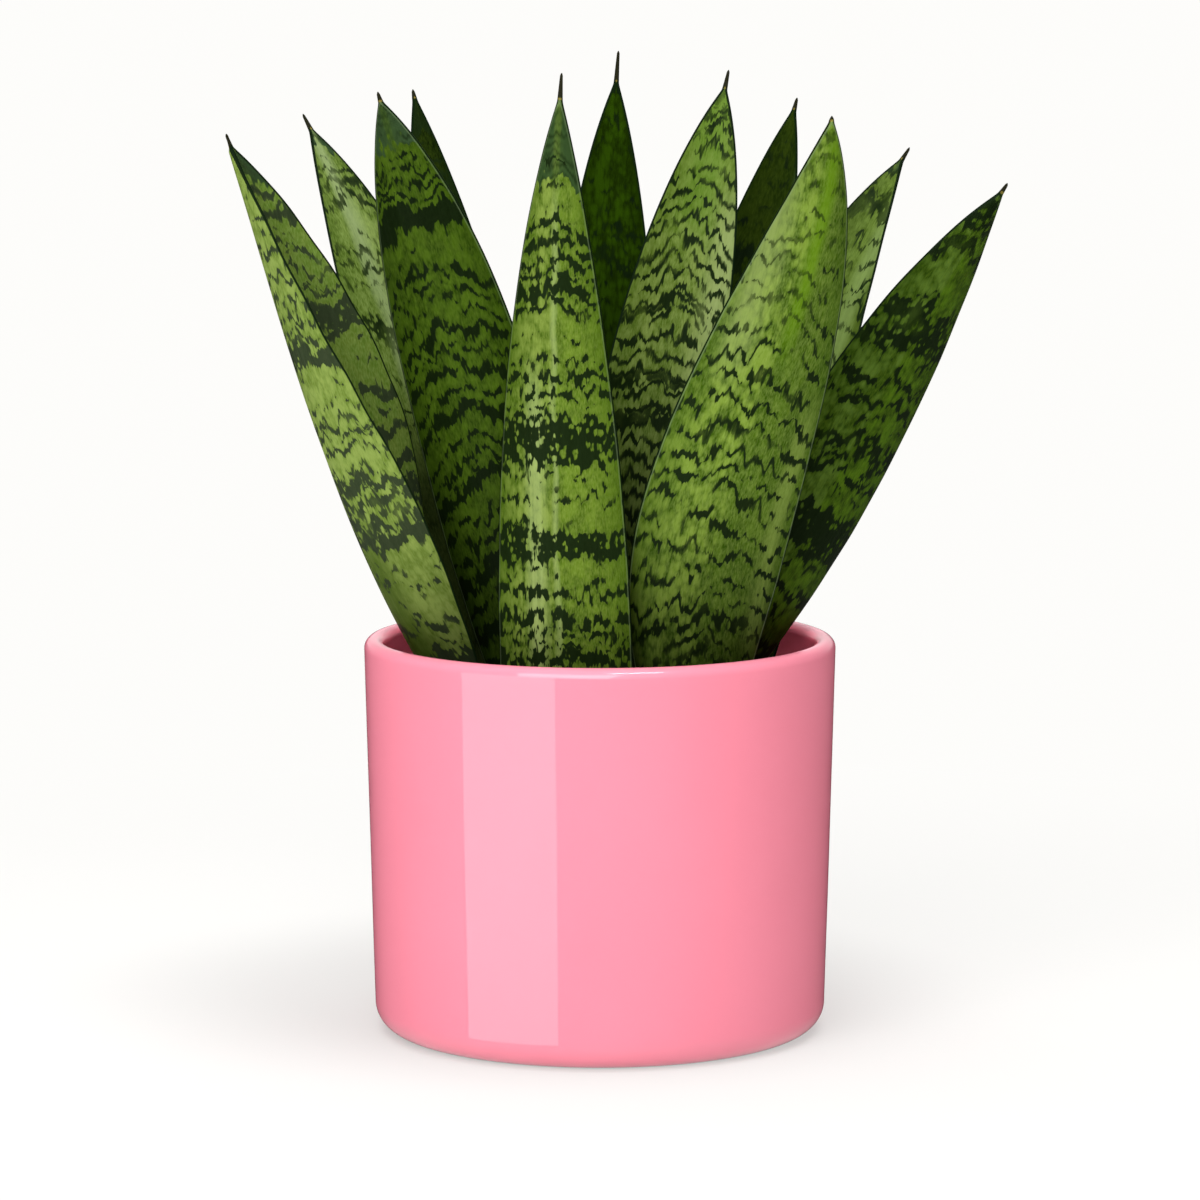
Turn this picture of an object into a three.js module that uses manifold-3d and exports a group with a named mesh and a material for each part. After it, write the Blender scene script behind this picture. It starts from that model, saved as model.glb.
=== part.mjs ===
// Potted Ceylon bowstring hemp: eleven stiff sword leaves in a round glazed pot.
// Units are millimetres, +Z is up and -Y is the front.
// The origin is the middle of the pot's foot, on the surface that it stands on.
import * as THREE from "three";
import { mergeVertices } from "three/addons/utils/BufferGeometryUtils.js";
import Module from "manifold-3d";

// Driving dimensions of the pot and its filling.
const POT_RADIUS = 75; // outside, at the rim
const POT_HEIGHT = 126;
const FOOT_RADIUS = 72; // outside, above the rounded foot
const FOOT_ROUND = 9;
const WALL = 6.6;
const FLOOR = 8;
const INNER_ROUND = 6;
const SEAT_GAP = 0.3; // between pieces that touch
const SOIL_TOP = 104;
const SOIL_SWELL = 1.2; // height of the soil's shallow lumps
const SOIL_RINGS = [0.8, 0.55, 0.3]; // shares of the radius where its surface is bent
const ROUND_STEPS = 48; // facets round the pot

// Driving dimensions that all leaves share.
const LEAF_SINK = 12; // how far a leaf's foot runs on below SOIL_TOP
const TIP_FULLNESS = 0.85; // below 1 rounds the last stretch of a blade
const MARGIN_THICKNESS = 0.9;
const SPINE_WIDTH = 2.2; // the hard point at the tip of a leaf, where it starts
const SPINE_TAPER = 0.65; // how much of that width is gone at its end
const STEP_EASE = 1.5; // above 1 packs a leaf's facets towards its tip
const LEAF_STEPS = 20; // facets along a leaf
const HALF_STEPS = 3; // facets across each half of a leaf
const SKIN_STEPS = 24; // fine steps in which a blade's skin is bent, a multiple of HALF_STEPS
const THINNING = 0.6; // how much of a leaf's thickness is gone at its tip
const STOUTNESS = 1.6; // a blade is never thicker than this times its half width
const HOLE_STEPS = 4; // facets down a hole
const HOLE_RISE = 0.15; // share of a leaf's height up to which its hole is cut
const HOLE_CLEARANCE = 0.6; // room round a leaf's foot in the soil

// Each leaf's keel line rises evenly from the soil to its top and passes four [x, y]
// points: on the soil, at a third, at two thirds and at the tip. width is measured
// along the blade's skin at its widest place, which is at the share widest of its
// height, foot is the share of it at the soil, and a larger taper keeps the blade wide
// nearer the tip. turn is the heading of the blade's width in degrees at the foot, the
// middle and the tip: 0 shows its rounded back to the front and 180 its channel. fold
// is how far each half is bent up from flat, foot, middle and tip, and keel how round
// the bend is: near 0 is a sharp crease, 1 an even channel.
const LEAVES = {
  leaf_front_middle: {
    path: [[-12, -44], [-13.5, -50], [-14, -57], [-11.5, -66]], top: 306.5,
    width: 46, foot: 0.96, widest: 0.1, taper: 1.9, spine: 8,
    turn: [-14, -14, -14], fold: [30, 28, 24], keel: 0.5, thickness: 5,
  },
  leaf_front_left: {
    path: [[-45, -13], [-76, -24], [-96, -36], [-114, -50]], top: 287.5,
    width: 64, foot: 0.44, widest: 0.42, taper: 1.5, spine: 4,
    turn: [-66, -100, -122], fold: [44, 62, 60], keel: 0.3, thickness: 5,
  },
  leaf_front_right: {
    path: [[30, -36], [37, -46], [56.5, -59], [69.5, -76]], top: 294,
    width: 51, foot: 0.58, widest: 0.32, taper: 1.9, spine: 1.5,
    turn: [4, 8, 14], fold: [28, 26, 24], keel: 0.6, thickness: 5,
  },
  leaf_far_right: {
    path: [[32, 0], [64, -5], [94, -12], [126.5, -22]], top: 271,
    width: 38, foot: 0.5, widest: 0.45, taper: 2.1, spine: 3,
    turn: [14, 16, 22], fold: [26, 26, 24], keel: 0.6, thickness: 5,
  },
  leaf_left_broad: {
    path: [[-19, -22], [-32.5, -28], [-49.5, -34], [-68, -42]], top: 300,
    width: 43, foot: 0.58, widest: 0.4, taper: 2.6, spine: 3,
    turn: [-8, -12, -14], fold: [26, 26, 24], keel: 0.6, thickness: 5,
  },
  leaf_left_dark: {
    path: [[-20, 22], [-33, 30], [-47, 39], [-60.5, 50]], top: 297.5,
    width: 29, foot: 0.6, widest: 0.4, taper: 2.1, spine: 3,
    turn: [188, 188, 188], fold: [22, 22, 22], keel: 0.7, thickness: 4.5,
  },
  leaf_left_rear: {
    path: [[-36, 14], [-50, 20], [-68.5, 29], [-95.5, 40]], top: 290,
    width: 36, foot: 0.5, widest: 0.45, taper: 2.1, spine: 5,
    turn: [196, 196, 196], fold: [24, 24, 24], keel: 0.7, thickness: 4.5,
  },
  leaf_rear_middle: {
    path: [[0, 30], [1, 38], [2.5, 49], [6, 62]], top: 309.5,
    width: 35, foot: 0.6, widest: 0.4, taper: 2.1, spine: 10,
    turn: [180, 180, 180], fold: [26, 26, 26], keel: 0.7, thickness: 4.5,
  },
  leaf_right_pale: {
    path: [[4, 6], [13, 12], [26.5, 18], [41, 26]], top: 304.5,
    width: 38, foot: 0.6, widest: 0.4, taper: 2.6, spine: 6,
    turn: [178, 178, 178], fold: [24, 24, 24], keel: 0.7, thickness: 4.5,
  },
  leaf_right_dark: {
    path: [[24, 36], [33, 46], [48, 58], [64.5, 72]], top: 294,
    width: 34, foot: 0.6, widest: 0.4, taper: 2.1, spine: 4,
    turn: [172, 172, 172], fold: [24, 24, 24], keel: 0.7, thickness: 4.5,
  },
  leaf_right_rear: {
    path: [[44, 18], [55, 28], [71.5, 41], [100.5, 56]], top: 278.5,
    width: 36, foot: 0.5, widest: 0.45, taper: 2.1, spine: 4,
    turn: [162, 162, 162], fold: [26, 26, 26], keel: 0.5, thickness: 4.5,
  },
};

const wasm = await Module();
wasm.setup();

const glaze = () => new THREE.MeshStandardMaterial({ color: 0xf796ab, roughness: 0.12, metalness: 0 });
const earth = () => new THREE.MeshStandardMaterial({ color: 0x2b1f17, roughness: 1, metalness: 0 });
const foliage = () => new THREE.MeshStandardMaterial({ color: 0x5c7a24, roughness: 0.45, metalness: 0 });

// A closed surface as a solid for cutting: only positions, with shared corners merged.
function solidOf(geometry) {
  const bare = geometry.clone();
  bare.deleteAttribute("normal");
  bare.deleteAttribute("uv");
  const merged = mergeVertices(bare, 1e-4);
  return new wasm.Manifold(
    new wasm.Mesh({
      numProp: 3,
      vertProperties: new Float32Array(merged.attributes.position.array),
      triVerts: new Uint32Array(merged.index.array),
    }),
  );
}

// A cut solid as a geometry to show.
function geometryOf(solid) {
  const { vertProperties, triVerts } = solid.getMesh();
  const geometry = new THREE.BufferGeometry();
  geometry.setAttribute("position", new THREE.BufferAttribute(vertProperties, 3));
  geometry.setIndex(new THREE.BufferAttribute(triVerts, 1));
  geometry.computeVertexNormals();
  return geometry;
}

// A round body from a closed profile of [radius, height] points, turned to stand along +Z.
function turned(profile) {
  const points = profile.map(([radius, height]) => new THREE.Vector2(radius, height));
  return new THREE.LatheGeometry(points, ROUND_STEPS).rotateX(Math.PI / 2);
}

// Points of an arc in the profile plane, with angles in degrees.
function arc(centreRadius, centreHeight, round, from, to, steps) {
  return Array.from({ length: steps + 1 }, (_, i) => {
    const angle = THREE.MathUtils.degToRad(from + ((to - from) * i) / steps);
    return [centreRadius + round * Math.cos(angle), centreHeight + round * Math.sin(angle)];
  });
}

// The pot: flat base, rounded foot, nearly straight wall, fully rounded rim.
function potGeometry() {
  const lip = WALL / 2;
  const innerFoot = FOOT_RADIUS - WALL;
  return turned([
    [0, 0],
    ...arc(FOOT_RADIUS - FOOT_ROUND, FOOT_ROUND, FOOT_ROUND, -90, 0, 4),
    ...arc(POT_RADIUS - lip, POT_HEIGHT - lip, lip, 0, 180, 6),
    ...arc(innerFoot - INNER_ROUND, FLOOR + INNER_ROUND, INNER_ROUND, 0, -90, 3),
    [0, FLOOR],
    [0, 0],
  ]);
}

// The pot's inside radius at a height, on its straight stretch.
function innerRadiusAt(height) {
  const low = FLOOR + INNER_ROUND;
  const high = POT_HEIGHT - WALL / 2;
  return THREE.MathUtils.mapLinear(height, low, high, FOOT_RADIUS - WALL, POT_RADIUS - WALL);
}

// Height of the soil's surface: shallow lumps that die away at the wall.
function soilHeight(x, y) {
  const away = 1 - Math.min(1, Math.hypot(x, y) / innerRadiusAt(SOIL_TOP));
  const lumps = Math.sin(x / 7 + 1) * Math.cos(y / 9) + 0.6 * Math.sin(x / 13 - y / 11);
  return SOIL_TOP + SOIL_SWELL * lumps * Math.min(1, 4 * away);
}

// The soil fills the pot's inside up to its lumpy top.
function soilGeometry() {
  const foot = FOOT_RADIUS - WALL - SEAT_GAP - INNER_ROUND;
  const low = FLOOR + INNER_ROUND;
  const top = innerRadiusAt(SOIL_TOP) - SEAT_GAP;
  const geometry = turned([
    [0, FLOOR + SEAT_GAP],
    ...arc(foot, low + SEAT_GAP, INNER_ROUND, -90, 0, 3),
    [top, SOIL_TOP],
    ...SOIL_RINGS.map((share) => [share * top, SOIL_TOP]),
    [0, SOIL_TOP],
    [0, FLOOR + SEAT_GAP],
  ]);
  const position = geometry.attributes.position;
  for (let i = 0; i < position.count; i++) {
    if (position.getZ(i) > SOIL_TOP - 0.01) {
      position.setZ(i, soilHeight(position.getX(i), position.getY(i)));
    }
  }
  return geometry;
}

// The value at a share t of the way along, on the parabola through three values.
function through3([foot, middle, tip], t) {
  return foot + t * (4 * middle - 3 * foot - tip) + t * t * (2 * foot + 2 * tip - 4 * middle);
}

// The value at a share t of the way along, on the cubic through four even values.
function through4([a, b, c, d], t) {
  const u = 3 * t;
  return (
    (-a * (u - 1) * (u - 2) * (u - 3)) / 6 +
    (b * u * (u - 2) * (u - 3)) / 2 -
    (c * u * (u - 1) * (u - 3)) / 2 +
    (d * u * (u - 1) * (u - 2)) / 6
  );
}

// The point of a leaf's keel line at a share t of its height.
function keelPoint({ path, top }, t) {
  const x = through4(path.map((point) => point[0]), t);
  const y = through4(path.map((point) => point[1]), t);
  return new THREE.Vector3(x, y, SOIL_TOP + (top - SOIL_TOP) * t);
}

// The direction in which the keel line runs there.
function keelTangent(leaf, t) {
  const step = 0.002;
  return keelPoint(leaf, t + step).sub(keelPoint(leaf, t - step)).normalize();
}

// Half width as a share of the widest: it swells from the foot, then narrows along a
// power curve to the tip.
function widthShare({ foot, widest, taper }, along) {
  if (along < widest) {
    const below = 1 - Math.max(0, along) / widest;
    return foot + (1 - foot) * (1 - below * below);
  }
  return (1 - ((along - widest) / (1 - widest)) ** taper) ** TIP_FULLNESS;
}

// How steeply the skin is bent up, in radians, at a share of the way out to the margin:
// level on the keel, at the full fold on the margin.
function slopeAt(share, fold, keel) {
  return (fold * share * Math.hypot(1, keel)) / Math.hypot(share, keel);
}

// Points of one half of the skin's middle line, stepped out from the keel.
function skinLine(halfWidth, fold, keel) {
  const step = halfWidth / SKIN_STEPS;
  const line = [[0, 0]];
  for (let i = 1; i <= SKIN_STEPS; i++) {
    const slope = slopeAt((i - 0.5) / SKIN_STEPS, fold, keel);
    const [across, deep] = line[i - 1];
    line.push([across + Math.cos(slope) * step, deep + Math.sin(slope) * step]);
  }
  return line;
}

// Cross-section of a blade as a closed ring of [across, deep] points: the back first,
// then the channel side, both half a thickness off the skin's middle line.
function bladeRing(halfWidth, fold, keel, thickness, grow) {
  const line = skinLine(halfWidth + grow, fold, keel);
  const shares = Array.from({ length: 2 * HALF_STEPS + 1 }, (_, i) => i / HALF_STEPS - 1);
  const faceAt = (share, face) => {
    const [across, deep] = line[Math.round(Math.abs(share) * SKIN_STEPS)];
    const slope = slopeAt(share, fold, keel);
    const swell = (thickness - MARGIN_THICKNESS) * (1 - share * share);
    const off = (face * (MARGIN_THICKNESS + swell + 2 * grow)) / 2;
    return [Math.sign(share) * across - off * Math.sin(slope), deep + off * Math.cos(slope)];
  };
  const back = shares.map((share) => faceAt(share, -1));
  const channel = shares.reverse().map((share) => faceAt(share, 1));
  return [...back, ...channel];
}

// A leaf, or with grow above 0 the plain hole for its foot, up to the share topAlong.
function leafGeometry(leaf, grow = 0, topAlong = 1) {
  const height = leaf.top - SOIL_TOP;
  const footTangent = keelTangent(leaf, 0);
  const below = (-(LEAF_SINK + grow) * footTangent.z) / height;
  const steps = grow ? HOLE_STEPS : LEAF_STEPS;
  const bladeEnd = 1 - leaf.spine / height;
  const rings = [];
  for (let i = 0; i <= steps; i++) {
    const along = below + (topAlong - below) * (1 - (1 - i / steps) ** STEP_EASE);
    const t = Math.max(0, along);
    const tangent = keelTangent(leaf, t);
    const sunk = (Math.min(0, along) * height) / footTangent.z;
    const centre = keelPoint(leaf, t).addScaledVector(tangent, sunk);
    const heading = THREE.MathUtils.degToRad(through3(leaf.turn, t));
    const across = new THREE.Vector3(Math.cos(heading), Math.sin(heading), 0);
    across.addScaledVector(tangent, -across.dot(tangent)).normalize();
    const deep = tangent.clone().cross(across);
    const share = widthShare(leaf, Math.min(1, along / bladeEnd));
    const pointed = Math.max(0, along - bladeEnd) / (1 - bladeEnd);
    const point = (SPINE_WIDTH / 2) * (1 - SPINE_TAPER * pointed);
    const halfWidth = Math.hypot((leaf.width / 2) * share, point);
    const fold = THREE.MathUtils.degToRad(through3(leaf.fold, t));
    const thinned = Math.min(leaf.thickness * (1 - THINNING * t), STOUTNESS * halfWidth);
    const thickness = Math.max(thinned, MARGIN_THICKNESS);
    const ring = bladeRing(halfWidth, fold, leaf.keel, thickness, grow);
    rings.push(ring.map(([a, d]) => centre.clone().addScaledVector(across, a).addScaledVector(deep, d)));
  }
  return loft(rings);
}

// A closed skin over blade rings, with flat ends. Both faces of the blade are split
// along the same diagonals, so that they stay apart where it is twisted.
function loft(rings) {
  const count = rings[0].length;
  const half = count / 2;
  const corners = rings.flat();
  const index = [];
  for (let i = 0; i + 1 < rings.length; i++) {
    for (let j = 0; j < count; j++) {
      const a = i * count + j;
      const b = i * count + ((j + 1) % count);
      if (j < half) index.push(a, b, b + count, a, b + count, a + count);
      else index.push(a, b, a + count, b, b + count, a + count);
    }
  }
  const last = (rings.length - 1) * count;
  for (let j = 0; j + 1 < half; j++) {
    const k = count - 1 - j;
    index.push(j, k, k - 1, j, k - 1, j + 1);
    index.push(last + j, last + k - 1, last + k, last + j, last + j + 1, last + k - 1);
  }
  const geometry = new THREE.BufferGeometry().setFromPoints(corners);
  geometry.setIndex(index);
  geometry.computeVertexNormals();
  return geometry;
}

// One sub-part of the plant.
function named(name, geometry, material) {
  const mesh = new THREE.Mesh(geometry, material);
  mesh.name = name;
  return mesh;
}

const plant = new THREE.Group();
plant.add(named("pot", potGeometry(), glaze()));

let soil = solidOf(soilGeometry());
for (const [name, leaf] of Object.entries(LEAVES)) {
  soil = soil.subtract(solidOf(leafGeometry(leaf, HOLE_CLEARANCE, HOLE_RISE)));
  plant.add(named(name, leafGeometry(leaf), foliage()));
}
plant.add(named("soil", geometryOf(soil), earth()));

export default plant;
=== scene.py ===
# %% [markdown]
# A potted Ceylon bowstring hemp in soft studio light. The plant is eleven stiff sword leaves
# that stand in dark soil, in a straight round pot with a glossy pink glaze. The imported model
# is loaded first as a fixed frame. Every piece below is a finer surface that stands exactly
# where one of the frame's solids stands, so nothing has to be fitted afterwards.

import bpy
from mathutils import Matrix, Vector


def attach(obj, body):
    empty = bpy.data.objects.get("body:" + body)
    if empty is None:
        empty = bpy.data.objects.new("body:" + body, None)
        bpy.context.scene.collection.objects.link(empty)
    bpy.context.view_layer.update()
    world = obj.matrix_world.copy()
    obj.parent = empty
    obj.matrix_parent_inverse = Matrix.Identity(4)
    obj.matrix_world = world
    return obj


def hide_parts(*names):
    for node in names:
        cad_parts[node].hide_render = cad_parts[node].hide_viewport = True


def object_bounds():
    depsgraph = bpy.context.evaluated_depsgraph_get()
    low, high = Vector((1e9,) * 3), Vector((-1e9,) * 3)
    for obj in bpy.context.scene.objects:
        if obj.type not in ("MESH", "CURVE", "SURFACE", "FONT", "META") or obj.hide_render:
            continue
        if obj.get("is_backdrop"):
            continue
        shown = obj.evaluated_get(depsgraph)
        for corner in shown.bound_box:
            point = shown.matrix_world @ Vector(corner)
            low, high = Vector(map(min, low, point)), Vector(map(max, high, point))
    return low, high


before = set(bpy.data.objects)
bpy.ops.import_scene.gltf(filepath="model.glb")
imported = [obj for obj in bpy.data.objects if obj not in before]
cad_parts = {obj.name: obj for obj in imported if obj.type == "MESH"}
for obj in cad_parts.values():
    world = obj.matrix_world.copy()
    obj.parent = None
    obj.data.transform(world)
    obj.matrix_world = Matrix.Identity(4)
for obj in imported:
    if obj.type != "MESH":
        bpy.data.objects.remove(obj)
cad_low, cad_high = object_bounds()
print("frame nodes:", sorted(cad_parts))

# %% [markdown]
# All sizes are real sizes in millimetres, because that is how a potter or a grower measures.
# Blender works in metres, so one factor turns them over where a mesh is made.
# The pot and the soil share their driving dimensions with the leaves, which start at the
# soil's surface.

# %% Driving dimensions in millimetres
import math
from types import SimpleNamespace

import bmesh
import bpy
import numpy as np
from mathutils import Euler, Matrix, Vector

MM = 0.001
POT_RADIUS = 75.0
POT_HEIGHT = 126.0
FOOT_RADIUS = 72.0
FOOT_ROUND = 9.0
WALL = 6.6
FLOOR = 8.0
INNER_ROUND = 6.0
SEAT_GAP = 0.3
SOIL_TOP = 104.0
SOIL_SWELL = 1.2

# %% [markdown]
# The camera stands 1.7 metres in front of the plant and a little above it, as in the
# photograph, with a long lens. A long lens keeps the pot's sides nearly parallel. It aims at
# a point on the pot's axis, so it needs no shift.

# %% Camera
CAMERA_DISTANCE = 1700.0
CAMERA_RISE = math.radians(7.48)
AIM_HEIGHT = 137.56
LENS = 160.5

aim = Vector((0.0, 0.0, AIM_HEIGHT))
back = Vector((0.0, -math.cos(CAMERA_RISE), math.sin(CAMERA_RISE)))
lens = bpy.data.cameras.new("camera")
lens.lens = LENS
lens.sensor_width = 36.0
lens.clip_end = 50.0
camera = bpy.data.objects.new("camera", lens)
camera.location = (aim + back * CAMERA_DISTANCE) * MM
camera.rotation_euler = (-back).to_track_quat("-Z", "Y").to_euler()
bpy.context.scene.collection.objects.link(camera)
bpy.context.scene.camera = camera
print("camera at", tuple(round(value, 3) for value in camera.location))

# %% [markdown]
# Each surface here is a grid of points, worked out by a formula of two parameters. The grid
# closes into a ring across the piece, such as round a pot or round a leaf's blade, and each
# end of it is closed by one face. This helper turns such a grid into a mesh with its faces
# outwards, and can note extra measures at the points for a material to read. A second one
# gives the slow unevenness that every grown or fired surface has.

# %% From a grid of points to a closed mesh
def grid_faces(rows, columns):
    """Corner numbers of the four-sided faces between neighbours of a grid, row by row, whose
    last column joins on to its first."""
    row, column = np.mgrid[0 : rows - 1, 0:columns]
    beside = (column + 1) % columns
    near, far = row * columns, (row + 1) * columns
    corners = np.stack([near + column, near + beside, far + beside, far + column], axis=-1)
    return corners.reshape(-1, 4)


def closed_piece(name, points, measures=None, flat_ends=True):
    """A closed mesh from points of shape (rows, columns, 3) in millimetres. The first and the
    last row are closed by a face each, and all faces are turned outwards."""
    rows, columns, _ = points.shape
    faces = grid_faces(rows, columns).tolist()
    faces += [list(range(columns)), list(range((rows - 1) * columns, rows * columns))]
    mesh = bpy.data.meshes.new(name)
    mesh.from_pydata((points.reshape(-1, 3) * MM).tolist(), [], faces)
    for label, values in (measures or {}).items():
        attribute = mesh.attributes.new(label, "FLOAT_VECTOR", "POINT")
        attribute.data.foreach_set("vector", values.astype(np.float32).ravel())
    work = bmesh.new()
    work.from_mesh(mesh)
    bmesh.ops.recalc_face_normals(work, faces=work.faces)
    work.to_mesh(mesh)
    work.free()
    smooth = np.ones(len(faces), bool)
    smooth[-2:] = not flat_ends
    mesh.polygons.foreach_set("use_smooth", smooth)
    piece = bpy.data.objects.new(name, mesh)
    bpy.context.scene.collection.objects.link(piece)
    print(f"{name}: {len(mesh.vertices)} points, {len(mesh.polygons)} faces")
    return piece


def waves(points, seed, length, count=24):
    """Smooth unevenness between about -1 and 1: the mean of plane waves in random directions,
    of wavelengths near length, at points of shape (..., 2 or 3)."""
    draw = np.random.default_rng(seed)
    ways = draw.normal(size=(count, points.shape[-1]))
    ways /= np.linalg.norm(ways, axis=1, keepdims=True)
    steps = 2 * np.pi / (length * draw.uniform(0.7, 1.5, count))
    starts = draw.uniform(0, 2 * np.pi, count)
    total = np.zeros(points.shape[:-1])
    for way, step, start in zip(ways, steps, starts):
        total += np.sin(points @ way * step + start)
    return total / math.sqrt(count)


# %% [markdown]
# Blender's materials are graphs of nodes, and so is the room's light. Written out by hand,
# even simple maths takes a line for each node and each link. The first class below wraps a
# node's output, so that adding, multiplying or comparing two of them in Python adds the right
# Math node. The second adds nodes and plugs them in. A finish then reads like a formula.

# %% A small language for materials
class Signal:
    """A value that changes over a surface. Python's operators on it add Math nodes."""

    def __init__(self, graph, socket):
        self.graph = graph
        self.socket = socket

    def maths(self, operation, *values):
        """The Math node of this operation, fed with these values in their order."""
        return self.graph.node("Math", {"operation": operation}, dict(enumerate(values)))

    def __add__(self, other):
        return self.maths("ADD", self, other)

    def __radd__(self, other):
        return self.maths("ADD", other, self)

    def __sub__(self, other):
        return self.maths("SUBTRACT", self, other)

    def __rsub__(self, other):
        return self.maths("SUBTRACT", other, self)

    def __mul__(self, other):
        return self.maths("MULTIPLY", self, other)

    def __truediv__(self, other):
        return self.maths("DIVIDE", self, other)

    def __pow__(self, other):
        return self.maths("POWER", self, other)

    def __abs__(self):
        return self.maths("ABSOLUTE", self)

    def least(self, other):
        """The smaller of the two."""
        return self.maths("MINIMUM", self, other)

    def most(self, other):
        """The larger of the two."""
        return self.maths("MAXIMUM", self, other)

    def rise(self, low, high):
        """0 below low, 1 above high and a smooth step between them."""
        sockets = {"Value": self, "From Min": low, "From Max": high}
        return self.graph.node("MapRange", {"interpolation_type": "SMOOTHSTEP"}, sockets)

    def between(self, low, high, soft):
        """1 from low to high and 0 outside, where each smooth step is twice soft long."""
        return self.rise(low - soft, low + soft) * (1 - self.rise(high - soft, high + soft))

    def straight(self, start, end, first, last):
        """first up to start, last beyond end and a straight slope between them."""
        sockets = {"Value": self, "From Min": start, "From Max": end, "To Min": first, "To Max": last}
        return self.graph.node("MapRange", sockets=sockets)


class Graph:
    """A tree of nodes, of a material or of the world, that is built node by node."""

    def __init__(self, tree):
        self.tree = tree
        self.nodes = tree.nodes

    def plug(self, socket, value):
        """Links a signal to a socket, or sets the socket to a plain value."""
        if isinstance(value, Signal):
            self.tree.links.new(value.socket, socket)
        elif hasattr(value, "__len__") and len(value) == 3 and socket.type == "RGBA":
            socket.default_value = (*value, 1.0)
        else:
            socket.default_value = value

    def node(self, kind, settings=None, sockets=None, output=0):
        """Adds a node of a kind, sets its settings first and its sockets after, and gives
        one of its outputs."""
        made = self.nodes.new("ShaderNode" + kind)
        for name, value in (settings or {}).items():
            if name == "stops":
                self.set_stops(made.color_ramp, value)
            else:
                setattr(made, name, value)
        for name, value in (sockets or {}).items():
            self.plug(made.inputs[name], value)
        return Signal(self, made.outputs[output])

    @staticmethod
    def set_stops(ramp, stops):
        """Puts a ramp's stops in place: pairs of a position and a level of grey."""
        for number, (place, level) in enumerate(stops):
            stop = ramp.elements[number] if number < 2 else ramp.elements.new(place)
            stop.position = place
            stop.color = (level, level, level, 1.0)

    def vector(self, x, y, z=0.0):
        """Three values as one vector."""
        return self.node("CombineXYZ", sockets={"X": x, "Y": y, "Z": z})

    def parts(self, vector):
        """A vector's three values."""
        return [self.node("SeparateXYZ", sockets={"Vector": vector}, output=i) for i in range(3)]


class Finish(Graph):
    """A material that is built node by node around one Principled shader."""

    def __init__(self, name, roughness=0.5, **fixed):
        self.material = bpy.data.materials.new(name)
        self.material.use_nodes = True
        super().__init__(self.material.node_tree)
        self.shader = self.nodes["Principled BSDF"]
        self.set("Roughness", roughness)
        for socket, value in fixed.items():
            self.set(socket.replace("_", " "), value)

    def set(self, socket, value):
        """Feeds one of the shader's own sockets."""
        self.plug(self.shader.inputs[socket], value)

    def noise(self, spot, size, detail=2.0, roughness=0.5):
        """Cloudy noise between -1 and 1 at a spot of three values. size is the length of its
        lumps: one number, or one for each of the three."""
        sizes = np.broadcast_to(size, 3).tolist()
        vector = self.vector(*(value / length for value, length in zip(spot, sizes)))
        sockets = {"Vector": vector, "Scale": 1.0, "Detail": detail, "Roughness": roughness}
        return self.node("TexNoise", {"noise_dimensions": "3D"}, sockets) * 2.0 - 1.0

    def lumps(self, x, y):
        """Distance to the nearest of many scattered points, about one to each unit of the
        plane: 0 on a point and about 0.4 on average."""
        sockets = {"Vector": self.vector(x, y), "Scale": 1.0, "Randomness": 0.9}
        return self.node("TexVoronoi", {"voronoi_dimensions": "2D"}, sockets)

    def blend(self, amount, first, second):
        """A mix of two colours: the first where amount is 0, the second where it is 1."""
        sockets = {0: amount, 6: first, 7: second}
        return self.node("Mix", {"data_type": "RGBA", "clamp_factor": True}, sockets, output=2)

    def bump(self, height, distance):
        """A raised surface, as a normal. distance is the height of a step from 0 to 1."""
        return self.node("Bump", sockets={"Height": height, "Distance": distance})

    def place(self):
        """The three values of the point on the piece, in millimetres."""
        point = self.node("TexCoord", output=3)
        settings = {"operation": "SCALE"}
        return self.parts(self.node("VectorMath", settings, {"Vector": point, "Scale": 1 / MM}))


# %% [markdown]
# The pot is thick stoneware, cast in a mould: a flat base, a rounded foot, a wall that widens
# by 3 millimetres up to a fully rounded rim, and a smooth inside. It is turned about its axis
# from one profile line. A perfectly round pot gives perfectly straight reflections and looks
# like plastic, so the wall has a faint unevenness of a tenth of a millimetre.

# %% The pot's surface
AROUND = 256
POT_UNEVEN = 0.12
UNEVEN_LENGTH = 70.0
FOOT_STEPS = 20
RIM_STEPS = 32
WELL_STEPS = 10
OUTSIDE_STEPS = 60
INSIDE_STEPS = 40


def arc(centre_radius, centre_height, radius, start, end, steps):
    """Points of an arc in the profile, from start to end in degrees: centre + radius times
    (cos, sin)."""
    angle = np.radians(np.linspace(start, end, steps + 1))
    return np.stack([centre_radius + radius * np.cos(angle),
                     centre_height + radius * np.sin(angle)], axis=1)


def line_to(start, end, steps):
    """Evenly spaced points after start, up to but without end."""
    share = np.linspace(0, 1, steps + 1)[1:-1, None]
    return np.asarray(start) * (1 - share) + np.asarray(end) * share


def turned(profile, uneven, seed, around=AROUND):
    """Points of a round piece: each profile point (radius, height) carried round the axis,
    with the radius drawn in by a smooth unevenness."""
    angle = np.linspace(0, 2 * np.pi, around, endpoint=False)
    ways = np.stack([np.cos(angle), np.sin(angle)], axis=1)
    radius, height = profile[:, 0, None], profile[:, 1, None]
    points = np.empty((len(profile), around, 3))
    points[..., :2] = radius[..., None] * ways
    points[..., 2] = height
    inward = uneven * (1 - waves(points, seed, UNEVEN_LENGTH)) / 2
    share = np.clip(1 - inward / np.maximum(radius, 1.0), 0, 1)
    points[..., :2] *= share[..., None]
    return points


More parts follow.
